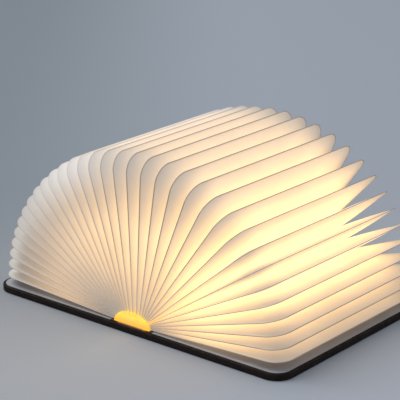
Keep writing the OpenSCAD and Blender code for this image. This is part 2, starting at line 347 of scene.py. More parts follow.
# %% Group helper
def effect_group(name, inputs, outputs, build):
    """A node group with float or vector inputs and its outputs, filled in by build(tree, given)."""
    tree = bpy.data.node_groups.new(name, "ShaderNodeTree")
    for title, value in inputs.items():
        kind = "NodeSocketVector" if value is None else "NodeSocketFloat"
        socket = tree.interface.new_socket(title, in_out="INPUT", socket_type=kind)
        if value is not None:
            socket.default_value = value
    for title, kind in outputs.items():
        tree.interface.new_socket(title, in_out="OUTPUT", socket_type=kind)
    given = tree.nodes.new("NodeGroupInput").outputs
    made = build(tree, given)
    out = tree.nodes.new("NodeGroupOutput")
    for title in outputs:
        connect(tree, made[title], out.inputs[title])
    return tree


print("groups so far", len(bpy.data.node_groups))

# %% [markdown]
# ## Shared effects
# On real materials colour and relief have one cause: fibres in paper, pebbles in leatherette,
# scratches in metal, rubbed edges. They could be pictures, but noise worked out at each point
# stays sharp at any distance and needs no unwrapped surface.

# %% Shared effects
VALUE = "NodeSocketFloat"


def build_fibre(tree, given):
    """Paper fibre: fine noise drawn out two ways, and a slow cloudiness of the pulp."""
    point, scale = given["Point"], given["Scale"]
    along = noise(tree, stretched(tree, point, (1, 0.25, 1)), scale, 4, 0.6)
    across = noise(tree, stretched(tree, point, (0.3, 1, 0.3)), scale, 4, 0.6)
    cloud = noise(tree, point, socket_math(tree, "MULTIPLY", scale, 0.06), 3, 0.55)
    return {"Height": socket_math(tree, "ADD", along, across), "Cloud": cloud}


def build_grain(tree, given):
    """Pebbled leatherette: rounded cells with soft creases, uneven in size."""
    point, scale = given["Point"], given["Scale"]
    cells = tree.nodes.new("ShaderNodeTexVoronoi")
    cells.feature = "SMOOTH_F1"
    cells.inputs["Smoothness"].default_value = 0.35
    tree.links.new(point, cells.inputs["Vector"])
    tree.links.new(scale, cells.inputs["Scale"])
    fine = noise(tree, point, socket_math(tree, "MULTIPLY", scale, 2.5), 3, 0.6)
    pores = socket_math(tree, "MULTIPLY", fine, 0.35)
    height = socket_math(tree, "SUBTRACT", pores, cells.outputs["Distance"])
    return {"Height": height, "Crease": span(tree, cells.outputs["Distance"], 0.35, 0.8)}


def build_wear(tree, given):
    """Worn edge: the edge mask broken up by noise."""
    patches = noise(tree, given["Point"], given["Scale"], 5, 0.65)
    strong = socket_math(tree, "MULTIPLY", given["Edge"], span(tree, patches, 0.38, 0.68))
    return {"Wear": socket_math(tree, "MULTIPLY", strong, given["Amount"])}


def build_brushed(tree, given):
    """Brushed metal: streaks drawn out along Y."""
    streaks = noise(tree, stretched(tree, given["Point"], (1, 0.04, 1)), given["Scale"], 4, 0.7)
    return {"Streaks": streaks}


fibre_group = effect_group("paper fibre", {"Point": None, "Scale": 900.0},
                           {"Height": VALUE, "Cloud": VALUE}, build_fibre)
grain_group = effect_group("leather grain", {"Point": None, "Scale": 1400.0},
                           {"Height": VALUE, "Crease": VALUE}, build_grain)
wear_group = effect_group("edge wear", {"Point": None, "Edge": 0.0, "Scale": 300.0, "Amount": 1.0},
                          {"Wear": VALUE}, build_wear)
brushed_group = effect_group("brushed metal", {"Point": None, "Scale": 2500.0},
                             {"Streaks": VALUE}, build_brushed)
print("shared effects", [group.name for group in bpy.data.node_groups])

# %% [markdown]
# ## A finish
# One Principled shader can stand for almost any real surface. Plain values could be fed to it
# through nodes, but on its own sockets they are easy to find. A small class holds the steps
# that every finish shares.

# %% Material helper
class Finish:
    """A material with one Principled shader; plain values go straight onto its sockets."""

    def __init__(self, name, **plain):
        """Starts a material; in the name of a plain value an underscore stands for a space."""
        self.material = bpy.data.materials.new(name)
        self.material.use_nodes = True
        self.tree = self.material.node_tree
        self.shader = self.tree.nodes["Principled BSDF"]
        self.point = self.tree.nodes.new("ShaderNodeTexCoord").outputs["Object"]
        for title, value in plain.items():
            self.set(title.replace("_", " "), value)

    def set(self, title, value):
        """Links a socket to the shader or sets its plain value."""
        target = self.shader.inputs[title]
        if target.type == "RGBA" and not isinstance(value, bpy.types.NodeSocket):
            value = (*value, 1)
        connect(self.tree, value, target)

    def tones(self, share, first, second):
        """Base colour from first to second, by the share."""
        self.set("Base Color", mixed(self.tree, share, first, second))

    def effect(self, group, **inputs):
        """Places a shared effect and gives back its outputs."""
        node = self.tree.nodes.new("ShaderNodeGroup")
        node.node_tree = group
        self.tree.links.new(self.point, node.inputs["Point"])
        for title, value in inputs.items():
            connect(self.tree, value, node.inputs[title])
        return node.outputs

    def mask(self, name):
        """A point attribute of the piece."""
        node = self.tree.nodes.new("ShaderNodeAttribute")
        node.attribute_name = name
        return node.outputs["Fac"]

    def bump(self, height, strength, distance):
        """Relief from a height socket; distance is its real depth in metres."""
        node = self.tree.nodes.new("ShaderNodeBump")
        node.inputs["Strength"].default_value = strength
        node.inputs["Distance"].default_value = distance
        self.tree.links.new(height, node.inputs["Height"])
        self.tree.links.new(node.outputs[0], self.shader.inputs["Normal"])


print("steps of a finish:", *(step for step in vars(Finish) if not step.startswith("_")))

# %% [markdown]
# ## Paper that glows
# The leaves are white uncoated paper. Room light shows it pale grey at the rims, and light
# from the bar shines through it, warm and yellow near the spine and weaker towards the folds'
# outer edges, where two layers are glued. Light could be traced through translucent paper,
# but dozens of thin layers render slowly and full of grain. So the share that comes through
# is worked out for each point with numpy and kept as the attribute "glow". The material turns
# it into a colour, and adds fibre and the room's light on the upper left.

# %% Paper finish
PAPER_WHITE = (0.74, 0.73, 0.70)
PAPER_RIM_SHADE = (0.44, 0.40, 0.365)
GLOW_MIDDLE = (0.225, 0.142, 0.078)
GLOW_FULL = (0.70, 0.45, 0.205)
ROOM_THROUGH = (0.20, 0.215, 0.235)
MIDDLE_LEVEL = 0.35
PULP_SHADE = 0.96


def paper_finish():
    """Emission: a ramp over glow times (1 - rim), plus the room's light. Base: white to the painted
    shade grey of the rims.
    """
    finish = Finish("leaf paper", Roughness=0.88, Specular_IOR_Level=0.25)
    tree = finish.tree
    fibre = finish.effect(fibre_group, Scale=1100.0)
    glow = finish.mask("glow")
    tone = span(tree, fibre["Cloud"], 0.3, 0.7, PULP_SHADE, 1.03)
    level = socket_math(tree, "MULTIPLY", glow, tone)
    rim = finish.mask("rim")
    level = socket_math(tree, "MULTIPLY", level, socket_math(tree, "SUBTRACT", 1.0, rim))
    node = tree.nodes.new("ShaderNodeValToRGB")
    ramp = node.color_ramp
    ramp.elements[0].color = (0, 0, 0, 1)
    ramp.elements[1].color = (*GLOW_FULL, 1)
    middle = ramp.elements.new(MIDDLE_LEVEL)
    middle.color = (*GLOW_MIDDLE, 1)
    tree.links.new(level, node.inputs[0])
    room = mixed(tree, finish.mask("room"), (0, 0, 0), ROOM_THROUGH)
    finish.set("Emission Color", mixed(tree, 1.0, node.outputs[0], room, "ADD"))
    finish.set("Emission Strength", 1.0)
    pulp = span(tree, fibre["Cloud"], 0.25, 0.75)
    base = mixed(tree, pulp, tuple(c * PULP_SHADE for c in PAPER_WHITE), PAPER_WHITE)
    # painted shade: the rim mask turns the paper's base colour grey along each ridge
    finish.tones(rim, base, PAPER_RIM_SHADE)
    finish.bump(fibre["Height"], 0.25, 0.02 * MM)
    return finish.material


leaf_paper = paper_finish()
print("finish", leaf_paper.name)

# %% [markdown]
# ## The folds of the leaves
# Each leaf is where two folds of the sheet meet. A fold runs in a U: along the front arm,
# round a corner, along the fore-edge, round the back corner and home. Inwards from the leaf's
# edge the two layers are glued for a few millimetres, then part and reach the valleys on both
# sides. A leaf's piece is a thin Y in section, carried along the U. Pages could be bent one
# by one, but the U at any depth is a formula, so neighbouring folds meet in their valley.

# %% The U of a leaf
LEAF_STEPS = (26, 12, 34)
ROOT_START = 0.3 * MM
ARM_CROWDING = 0.8


def three_sides(start, reach, half, radius, steps, crowding=1.0):
    """Distance outwards and place along the spine, for points round three sides of a page.

    They lie on a straight front arm, a quarter circle, a straight fore-edge, a quarter circle
    and a straight back arm. steps counts the points of an arm, a corner and the edge. On an
    arm the distance grows as a power of the step, so that points crowd towards the corner.
    """
    arm_steps, corner_steps, edge_steps = steps
    along = np.linspace(0, 1, arm_steps)[:, None] ** crowding
    angle = np.linspace(0, math.pi / 2, corner_steps)[1:-1, None]
    arm = start + (reach - radius - start) * along
    corner_out = reach - radius + radius * np.sin(angle)
    corner_end = half - radius + radius * np.cos(angle)
    edge_end = (half - radius) * np.linspace(-1, 1, edge_steps)[:, None]
    out = np.concatenate([arm, corner_out, edge_end * 0 + reach, corner_out[::-1], arm[::-1]])
    end = np.concatenate([arm * 0 - half, -corner_end, edge_end, corner_end[::-1], arm * 0 + half])
    return out, end


def leaf_u(depth):
    """The three sides of a leaf, offset inwards by each depth. The corner's radius shrinks with the
    depth over the seam, then eases to the valley's radius."""
    radius = np.interp(depth, [0, SEAM_WIDTH, PLEAT_DEPTH],
                       [LEAF_RADIUS, LEAF_RADIUS - SEAM_WIDTH, VALLEY_RADIUS])
    return three_sides(ROOT_START, LEAF_LENGTH - depth, page_half - depth, radius,
                       LEAF_STEPS, ARM_CROWDING)


print("points round a leaf", leaf_u(np.zeros(1))[0].size)

# %% [markdown]
# ## Leaf plane and valley
# A fold hangs between two surfaces: the plane of its leaf and the valley that it shares with the
# next leaf. The valley could be drawn by hand, but it lies half way between two leaves, and
# beside a cover it lies on the lining.

# %% Leaf plane and valley
def off_leaf(number, s, y, off):
    """Points near a leaf's plane: the root, plus s times the leaf's direction, plus off times its
    normal."""
    direction = leaf_dirs[number]
    normal = np.array([-direction[1], direction[0]])
    flat = leaf_roots[number] + s[..., None] * direction + off[..., None] * normal
    return ring_grid(flat[..., 0], y, flat[..., 1])


def valley(number, side, s, y):
    """The valley surface beside a leaf: half way to its neighbour, or the lining next to a cover."""
    other = number + side
    if 0 <= other < len(LEAVES):
        direction = leaf_dirs[number] + leaf_dirs[other]
        direction /= np.linalg.norm(direction)
        flat = (leaf_roots[number] + leaf_roots[other]) / 2 + s[..., None] * direction
        return ring_grid(flat[..., 0], y, flat[..., 1])
    return ring_grid(-side * (hinge_x + s), y, lining_top + FIT)


print("valleys", len(LEAVES) + 1, "between", len(LEAVES), "leaves and two linings")

# %% [markdown]
# ## How much light comes through
# The bar lies behind the valleys, so a fold is brightest deep inside and fades towards its
# glued edge. Along the arm the light first grows, because at the root the folds are packed
# too tightly to let much out, and it fades again at the outer corners, farthest from the bar.
# Leaves that lean far over are dimmer. A picture of the glow could be painted on, but each
# cause is one smooth factor, and a product of factors is easy to tune.

# %% Smooth steps
def smooth(value, low, high):
    """0 below low, 1 above high, and 3t²-2t³ between."""
    t = np.clip((value - low) / (high - low), 0, 1)
    return t * t * (3 - 2 * t)


def leaf_angle(number):
    """A leaf's angle from the right cover, in degrees."""
    direction = leaf_dirs[number]
    return math.degrees(math.atan2(direction[1], direction[0]))


def grown(least, share):
    """A factor that goes from least to 1 as the share goes from 0 to 1."""
    return least + (1 - least) * share


LEAF_ANGLES = [leaf_angle(number) for number in range(len(LEAVES))]
print("leaves lean from", round(LEAF_ANGLES[0], 1), "to", round(LEAF_ANGLES[-1], 1), "degrees")

# %% [markdown]
# ## The bar's light
# The factors are now given values. A pair says where a change starts and where it ends: in
# metres, in degrees of lean, or as a share of the leaf's length or half width. The product
# could be one long line, but a name for each cause shows what it does.

# %% Glow
GLOW_DEPTH = 5.5 * MM
GLUED_EDGE = 1.2 * MM
DIM_ROOT = (2 * MM, 30 * MM)
LEAST_DEEP, LEAST_EDGE, LEAST_ROOT = 0.36, 0.35, 0.68
CORNER_FADE, CORNER_FADE_LEFT = 0.50, 0.42
CORNER_LEAN, CORNER_OUT, CORNER_END = (35, 110), (0.45, 1.0), (0.55, 1.0)
FORE_EDGE_FADE = 0.22
FORE_EDGE_LEAN, FORE_EDGE_LOW, FORE_EDGE_OUT = (45, 85), (6, 30), (0.8, 0.95)
LEFT_FADE, LEFT_LEAN = 0.42, (100, 165)
LOW_FADE, LOW_LEAN, LOW_OUT = 0.36, (0, 24), (0.3, 0.9)


def glow_level(depth, s, y, angle):
    """Share of the bar's light at a point of a leaf that leans by the angle, in degrees: the product
    of a depth, an edge, a root, a corner, a fore-edge and a lean term."""
    deep = grown(LEAST_DEEP, 1 - np.exp(-depth / GLOW_DEPTH))
    edge = grown(LEAST_EDGE, smooth(depth, -GLUED_EDGE / 4, GLUED_EDGE))
    root = grown(LEAST_ROOT, smooth(s, *DIM_ROOT))
    out, end = s / LEAF_LENGTH, np.abs(y) / page_half
    fade = CORNER_FADE + CORNER_FADE_LEFT * smooth(angle, *CORNER_LEAN)
    corner = 1 - fade * smooth(out, *CORNER_OUT) * smooth(end, *CORNER_END)
    dim = FORE_EDGE_FADE * (smooth(angle, *FORE_EDGE_LEAN) + 1 - smooth(angle, *FORE_EDGE_LOW))
    fore_edge = 1 - dim * smooth(out, *FORE_EDGE_OUT)
    left, low = smooth(angle, *LEFT_LEAN), 1 - smooth(angle, *LOW_LEAN)
    lean = 1 - LEFT_FADE * left - LOW_FADE * low * smooth(out, *LOW_OUT)
    return deep * edge * root * corner * fore_edge * lean


middle_leaf = glow_level(PLEAT_DEPTH, LEAF_LENGTH / 2, page_half - PLEAT_DEPTH, 90.0)
print("light through an upright leaf, half way out:", round(float(middle_leaf), 2))

# %% [markdown]
# ## Rims and the room's light
# The glued rim of a fold is double, so hardly any light gets through, and its base colour is
# painted grey as shade along the ridge, so it looks like a thin grey line. Leaves that stand up
# to the left also let the room's cool light through near their fore-edge. Both are painted,
# as masks that follow each leaf like the glow.

# %% Rims and room
RIM_WIDTH = 0.3 * MM
LEAST_RIM, RIM_GROWTH = 0.15, (6 * MM, 45 * MM)
RIM_FADE, RIM_LEAN = 0.8, (85, 125)
ROOM_OUT = (0.72, 0.98)
ROOM_LEAN, ROOM_SPREAD = 122, 20


def rim_level(depth, s, angle):
    """1 on the glued outer rim of a fold, where hardly any light comes through and the base colour is
    painted grey as shade, less near the root and on the leaves that lean to the left, and 0 past
    the rim."""
    strength = grown(LEAST_RIM, smooth(s, *RIM_GROWTH)) * (1 - RIM_FADE * smooth(angle, *RIM_LEAN))
    return (1 - smooth(depth, RIM_WIDTH, 2 * RIM_WIDTH)) * strength


def room_level(s, angle):
    """Share of the room's light that comes through the fore-edge of the leaves that stand up to the
    left: a bell curve of the angle."""
    return smooth(s / LEAF_LENGTH, *ROOM_OUT) * math.exp(-((angle - ROOM_LEAN) / ROOM_SPREAD) ** 2)


print("rims", round(RIM_WIDTH / MM, 1), "mm wide, room light strongest at", ROOM_LEAN, "degrees")

# %% [markdown]
# ## One leaf's folds
# Past its seam each layer of paper leaves the leaf's plane and opens towards the valley. A
# cloth simulation could find this shape, but stiff paper hardly sags, so each point is a blend
# of its place in the leaf and its place in the valley. The thickness goes to the inside.

# %% One leaf's folds
SEAM_DEPTHS = [0, 0.3, 0.6, 1.1, 1.7]
DEPTHS = np.concatenate([SEAM_DEPTHS, np.linspace(SEAM_WIDTH / MM, PLEAT_DEPTH / MM, 12)]) * MM
FOLD_POWER = 0.92
SMALLEST = 1e-9


def fold_points(number, side, inner):
    """One layer of a fold and its masks: from the leaf's plane it opens to the valley as a power of
    the depth past the seam."""
    s, y = leaf_u(DEPTHS)
    past = np.clip((DEPTHS - SEAM_WIDTH) / (PLEAT_DEPTH - SEAM_WIDTH), 0, 1)
    share = (past ** FOLD_POWER)[None, :, None]
    thick = 0.0 if inner else SHEET
    from_leaf = off_leaf(number, s, y, np.full_like(s, side * thick))
    to_valley = valley(number, side, s, y)
    if inner:
        away = from_leaf - to_valley
        distance = np.linalg.norm(away, axis=-1, keepdims=True)
        to_valley = to_valley + away / np.maximum(distance, SMALLEST) * SHEET
    angle, depth = LEAF_ANGLES[number], DEPTHS[None, :]
    masks = np.stack([glow_level(depth, s, y, angle), rim_level(depth, s, angle), room_level(s, angle)])
    return from_leaf * (1 - share) + to_valley * share, masks


def leaf_folds(number):
    """A leaf's Y-shaped skin: lower layer in, upper layer out, and back along their inner faces."""
    low_out, low_masks = fold_points(number, -1, False)
    high_out, high_masks = fold_points(number, 1, False)
    seam = len(SEAM_DEPTHS)
    low_in, _ = fold_points(number, -1, True)
    high_in, _ = fold_points(number, 1, True)
    outer = np.concatenate([low_out[:, ::-1], high_out], 1)
    # Over the glued seam there is nothing inside, so the inner faces wait at the seam's inner edge
    at_seam = slice(seam, seam + 1)
    inner = np.concatenate([low_in[:, :seam:-1], np.repeat(low_in[:, at_seam], seam + 1, 1),
                            np.repeat(high_in[:, at_seam], seam + 1, 1), high_in[:, seam + 1:]], 1)
    rings = np.concatenate([outer, inner[:, ::-1]], 1)
    masks = np.concatenate([low_masks[:, :, ::-1], high_masks], 2)
    glow, rim, room = np.concatenate([masks, masks[:, :, ::-1]], 2)
    return shell(LEAVES[number], rings, glow=glow, rim=rim, room=room)


print("depths across a fold", len(DEPTHS), "of which on the seam", len(SEAM_DEPTHS) + 1)

# %% [markdown]
# ## All the leaves
# Each leaf's folds ride on that leaf's body and stand in for its plain sheet and for the pleats
# of its side. When the lamp shuts, real folds close flat.


def build_leaves():
    """One piece for each leaf, on that leaf's body."""
    for number, node in enumerate(LEAVES):
        mesh = joined(node, [leaf_folds(number)])
        piece = place_piece("folds_" + node[-2:], mesh, leaf_paper, sharp=60)
        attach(piece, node)
        side = "right" if number < RIGHT_LEAVES else "left"
        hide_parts(node, side + "_pleats")
        direction = leaf_dirs[number]
        normal = (-direction[1], 0, direction[0])
        anchor = (leaf_roots[number][0], 0, leaf_roots[number][1])
        offsets = (mesh_points(mesh) - np.array(anchor)) @ normal
        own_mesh(piece)


build_leaves()
print("leaf pieces", len(LEAVES))

# %% [markdown]
# ## Gathered paper
# In the shut lamp the folds fill the stack, but squashing them in proportion would leave slits
# near the root, where an open fold is narrow already. More folds could be modelled there, but
# they would cross when the lamp opens. A flat strip inside each fold, at both ends of the leaf,
# fills the slits instead and lies hidden in the open fold. The real lamp has no such strips:
# its paper bunches up by itself.

# %% Gathered paper
GATHER_DEPTHS = np.array([18, 21, 21, 18]) * MM
GATHER_REACH = (3 * MM, 60 * MM)
GATHER_STEPS = 7
GATHER_THICKNESS = 0.94 * closed_pitch
GATHER_GLOW = 0.5


def gathered_paper(number):
    """Two flat strips in a leaf's plane, between two depths from its front and back edge."""
    s = np.repeat(np.linspace(*GATHER_REACH, GATHER_STEPS)[:, None], len(GATHER_DEPTHS), 1)
    half = GATHER_THICKNESS / 2
    off = np.broadcast_to(np.array([half, half, -half, -half]), s.shape)
    strips = []
    for end in (-1, 1):
        y = np.broadcast_to(end * (page_half - GATHER_DEPTHS), s.shape)
        glow = GATHER_GLOW * glow_level(GATHER_DEPTHS[None, :], s, y, LEAF_ANGLES[number])
        strips.append(shell("strip", off_leaf(number, s, y, off), glow=glow))
    return joined("gathered", strips)


def build_gathered():
    """One piece of two strips for each leaf."""
    for number, node in enumerate(LEAVES):
        piece = place_piece("gathered_" + node[-2:], gathered_paper(number), leaf_paper)
        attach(piece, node)


build_gathered()
print("gathered strips", 2 * len(LEAVES))

# %% [markdown]
# ## Leatherette case
# The case is wrapped in dark brown leatherette, a pebbled coated paper. Its creases are darker
# than its pebbles, and handling wears the edges pale. The grain could be a picture of leather,
# but cells of noise give both colour and relief, and a mask on the edges places the wear.

# %% Leatherette finish
LEATHER_DARK = (0.0060, 0.0038, 0.0030)
LEATHER_WARM = (0.020, 0.0075, 0.0042)
LEATHER_WORN = (0.040, 0.026, 0.020)
LEATHER_CREASE = (0.003, 0.002, 0.0016)


def leather_finish():
    """Base: dark to warm brown by slow noise, then creases by the grain, then wear on the edges."""
    finish = Finish("case leatherette", Roughness=0.5, Specular_IOR_Level=0.18)
    tree = finish.tree
    grain = finish.effect(grain_group, Scale=1500.0)
    wear = finish.effect(wear_group, Edge=finish.mask("edge"), Scale=260.0, Amount=0.8)["Wear"]
    tone = mixed(tree, noise(tree, finish.point, 45.0, 4), LEATHER_DARK, LEATHER_WARM)
    creased = mixed(tree, socket_math(tree, "MULTIPLY", grain["Crease"], 0.6), tone, LEATHER_CREASE)
    finish.tones(wear, creased, LEATHER_WORN)
    finish.set("Roughness", span(tree, grain["Crease"], 0, 1, 0.52, 0.72))
    finish.bump(grain["Height"], 0.5, 0.06 * MM)
    return finish.material


case_leatherette = leather_finish()
print("finish", case_leatherette.name)

# %% [markdown]
# ## The wrap in section
# The leatherette turns over the edges of a board and under its lining. It could be a box with
# bevelled edges, but that would be solid. A section of lip, rounded edge, side, rounded edge
# and underside has the real thickness, and any edge of the case is that section carried on.

# %% Case section
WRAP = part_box("spine_wrap")[1].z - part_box("spine_board")[1].z + 0.55 * MM
EDGE_ROUND = 0.5 * MM
ROUND_STEPS = 7
LIP = 0.1 * MM
LIP_WEAR = 0.2


def arc(centre_inset, centre_z, radius, start, end):
    """Points (inset, z) on a quarter circle; angles in degrees, 0 inwards and 90 up."""
    angle = np.radians(np.linspace(start, end, ROUND_STEPS))
    return np.stack([centre_inset + radius * np.cos(angle), centre_z + radius * np.sin(angle)], 1)


def edge_section(depth):
    """Half section of the wrap as (inset, z): lip over the board, rounded edge, side, rounded edge,
    underside to the depth, and back inside. The second value is 1 at the worn edges."""
    top = case_top + LIP
    outer = np.concatenate([
        [[lining_inset - FIT, top]],
        arc(EDGE_ROUND, top - EDGE_ROUND, EDGE_ROUND, 90, 180),
        arc(EDGE_ROUND, EDGE_ROUND, EDGE_ROUND, 180, 270),
        [[depth * 0.25, 0], [depth * 0.6, 0], [depth, 0]]])
    inner = np.stack([np.clip(outer[:, 0], WRAP, None), np.clip(outer[:, 1], WRAP, case_top)], 1)
    rounded = np.sin(np.linspace(0.25, math.pi - 0.25, ROUND_STEPS))
    worn = np.concatenate([[LIP_WEAR], rounded, rounded, [0, 0, 0]])
    return outer, inner, worn


print("wrap", round(WRAP / MM, 2), "mm thick, section of", len(edge_section(case_half)[0]), "points")

# %% [markdown]
# ## Leatherette of a cover
# A cover has three free sides and two rounded corners, and the wrap runs round all of them.
# Mitred boxes could be joined, but one section carried round the same U as a leaf's edge gives
# even corners. Farther in than the corner's radius the corner is a point.

# %% Cover leather
COVER_STEPS = (14, 14, 20)


def cover_leather(name, side):
    """The section carried round a cover's three free sides. Insets past the corner radius shrink the
    corner to a point, and the underside meets along the middle."""
    outer, inner, worn = edge_section(case_half)
    inset, z = np.concatenate([outer, inner[::-1]]).T
    radius = np.clip(LEAF_RADIUS - inset, 0, None)
    x, y = three_sides(hinge_x + joint_half, case_reach - inset, case_half - inset, radius, COVER_STEPS)
    edge = np.broadcast_to(np.concatenate([worn, worn[::-1] * 0]), x.shape)
    return joined(name, [shell(name, ring_grid(side * x, y, z), gap=len(outer) - 1, edge=edge)])


print("corner radius of a cover", round(LEAF_RADIUS / MM, 1), "mm")

# %% [markdown]
# ## Leatherette of the spine and its joints
# Between the covers the same wrap runs on over the spine. The strips beside it have no board
# and bend when the lamp shuts. Flat sheets would show no edge, so both are the section at
# the front, the underside and the section at the rear, carried along X in steps.

# %% Strip leather
def strip_leather(name, x0, x1, steps):
    """The same section at both ends of the case, joined across the underside and carried along X."""
    outer, inner, worn = edge_section(case_half)
    front = np.stack([outer[:-1, 0] - case_half, outer[:-1, 1]], 1)
    back = front[::-1] * [-1, 1]
    front_in = np.stack([inner[:-1, 0] - case_half, inner[:-1, 1]], 1)
    section = np.concatenate([front, back, front_in * [-1, 1], front_in[::-1]])
    x = np.linspace(x0, x1, steps)[:, None]
    rings = ring_grid(x, section[:, 0], section[:, 1])
    worn = np.concatenate([worn[:-1], worn[-2::-1], worn[:-1] * 0, worn[:-1] * 0])
    return shell(name, rings, edge=np.broadcast_to(worn, rings.shape[:2]))


print("joint strips", round(2 * joint_half / MM, 1), "mm wide")

# %% [markdown]
# ## Openings in the rear wall
# The charging socket and its light look out of the wrap at the rear. The openings could be
# drawn into the section, but only a short stretch has them, so a box is cut away around each.

# %% Openings
OPENING_DEPTH = 3 * MM


def cut_away(mesh, low, high):
    """The mesh with a box cut out of it. The box is a unit cube with each point moved to the low
    corner plus its share of the way to the high one."""
    work = bmesh.new()
    bmesh.ops.create_cube(work, size=1)
    box_mesh = mesh_from(work, "cut")
    low, high = np.array(low), np.array(high)
    points = low + (mesh_points(box_mesh) + 0.5) * (high - low)
    box_mesh.vertices.foreach_set("co", points.ravel())
    cutter = new_object("cut", box_mesh)
    holder = new_object("held", mesh)
    modifier = holder.modifiers.new("cut", "BOOLEAN")
    modifier.operation = "DIFFERENCE"
    modifier.object = cutter
    modifier.solver = "EXACT"
    graph = bpy.context.evaluated_depsgraph_get()
    result = bpy.data.meshes.new_from_object(holder.evaluated_get(graph))
    for thing in (cutter, holder):
        bpy.data.objects.remove(thing)
    return result


def rear_opening(mesh, node):
    """The mesh with its rear wall open around a node, one fit wider on each side."""
    low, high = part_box(node)
    return cut_away(mesh, (low.x - FIT, case_half - OPENING_DEPTH, low.z - FIT),
                    (high.x + FIT, case_half + MM, high.z + FIT))


print("openings reach", round(OPENING_DEPTH / MM, 1), "mm into the rear wall")

# %% [markdown]
# ## The case in place
# Each cover's wrap rides on its cover and the spine's wrap on the spine. A joint strip could
# ride on either, but it would tear off the other, so it rides on no body.

# %% Case pieces
SIDES = ((1, "right"), (-1, "left"))
STRIP_STEPS, SPINE_STEPS = 13, 21


def over_joint(name, mesh, material, word):
    """A piece over a joint, on no body, in place of the joint's CAD strips."""
    piece = place_piece(name, mesh, material, sharp=50)
    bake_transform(piece)
    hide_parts(word + "_hinge_strips")


def build_case():
    """Two cover wraps, two joint strips and the spine's wrap."""
    for side, word in SIDES:
        cover = place_piece(word + "_cover_leather", cover_leather("cover", side),
                            case_leatherette, sharp=50)
        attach(cover, word + "_cover")
        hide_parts(word + "_cover_wrap")
        ends = sorted([side * (hinge_x - joint_half), side * (hinge_x + joint_half)])
        over_joint(word + "_joint_leather", strip_leather("strip", *ends, STRIP_STEPS),
                   case_leatherette, word)
    spine_end = hinge_x - joint_half
    mesh = strip_leather("spine", -spine_end, spine_end, SPINE_STEPS)
    for node in ("usb_socket", "charge_light_pipe"):
        mesh = rear_opening(mesh, node)
    spine = place_piece("spine_leather", mesh, case_leatherette, sharp=50)
    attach(spine, "spine")
    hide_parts("spine_wrap")


build_case()

# %% [markdown]
# ## Cloth in the joints
# Inside, each joint is lined with a dark woven ribbon that hides the gap between the boards.
# The threads could be modelled, but they are too fine to see one by one, so two crossed waves
# give their relief and colour. The ribbon is a real skin.

# %% Joint cloth
THREAD_SCALE = 420.0
CLOTH_THICKNESS = 0.25 * MM


def threads(finish, direction):
    """Waves across one direction, one for each thread."""
    wave = finish.tree.nodes.new("ShaderNodeTexWave")
    wave.bands_direction = direction
    wave.inputs["Scale"].default_value = THREAD_SCALE
    finish.tree.links.new(finish.point, wave.inputs["Vector"])
    return wave.outputs["Fac"]


def cloth_finish():
    """Height and colour: the higher of two crossed waves."""
    finish = Finish("joint cloth", Roughness=0.9, Sheen_Weight=0.2)
    weave = socket_math(finish.tree, "MAXIMUM", threads(finish, "X"), threads(finish, "Y"))
    finish.tones(weave, (0.010, 0.007, 0.006), (0.030, 0.021, 0.018))
    finish.bump(weave, 0.5, 0.08 * MM)
    return finish.material


def build_joint_cloth():
    """A thin flat ribbon over each joint, a box in section."""
    cloth = cloth_finish()
    low, high = lining_top - CLOTH_THICKNESS, lining_top + FIT
    half = case_half - lining_inset
    for side, word in SIDES:
        x = np.linspace(hinge_x - joint_half, hinge_x + joint_half, STRIP_STEPS)[:, None] * side
        y = np.array([-half, half, half, -half])
        z = np.array([high, high, low, low])
        over_joint(word + "_joint_cloth", shell("cloth", ring_grid(x, y, z)), cloth, word)


build_joint_cloth()
print("joint cloth", round(2 * (case_half - lining_inset) / MM, 1), "mm long")

# %% [markdown]
# ## The arch of the roots
# Under the roots the paper is glued to a small arch. At both ends of the spine one looks
# into it and sees the light of the bar itself, deep amber, with the leaf ends standing on it
# like teeth. A lamp behind a translucent plug could show this, but a glow of its own is free
# of grain: yellow in the middle, orange at the base and darker between the teeth.

# %% Amber finish
TEETH = 26
AMBER_YELLOW, AMBER_PALE = (1.0, 0.66, 0.05), (1.0, 0.76, 0.12)
AMBER_BASE, AMBER_RIM = (0.95, 0.42, 0.05), (0.80, 0.42, 0.06)
AMBER_UNLIT = (0.4, 0.25, 0.08)


def amber_finish():
    """Emission: yellow rising from orange with the height, darker where the reach from the middle
    nears 1 and the cosine of the teeth's angle is high."""
    finish = Finish("amber arch", Roughness=0.6)
    tree = finish.tree
    x, _, height = coordinates(tree, finish.point)
    z = socket_math(tree, "SUBTRACT", height, arch_low.z)
    rise = arch_high.z - arch_low.z
    across = socket_math(tree, "DIVIDE", socket_math(tree, "ABSOLUTE", x), arch_high.x)
    reach = socket_math(tree, "MAXIMUM", across, socket_math(tree, "DIVIDE", z, rise))
    turn = socket_math(tree, "ARCTAN2", z, x)
    teeth = socket_math(tree, "COSINE", socket_math(tree, "MULTIPLY", turn, 2 * TEETH))
    mottled = noise(tree, finish.point, 500.0, 4, 0.6)
    yellow = mixed(tree, span(tree, mottled, 0.3, 0.7), AMBER_YELLOW, AMBER_PALE)
    rising = mixed(tree, span(tree, z, 0, rise), AMBER_BASE, yellow)
    at_rim = socket_math(tree, "MULTIPLY", span(tree, reach, 0.72, 0.95), span(tree, teeth, -0.2, 0.8))
    finish.set("Emission Color", mixed(tree, at_rim, rising, AMBER_RIM))
    finish.set("Emission Strength", 1.0)
    finish.set("Base Color", AMBER_UNLIT)
    finish.bump(mottled, 0.3, 0.1 * MM)
    return finish.material


amber = amber_finish()
print("finish", amber.name, "with", TEETH, "teeth to a quarter")
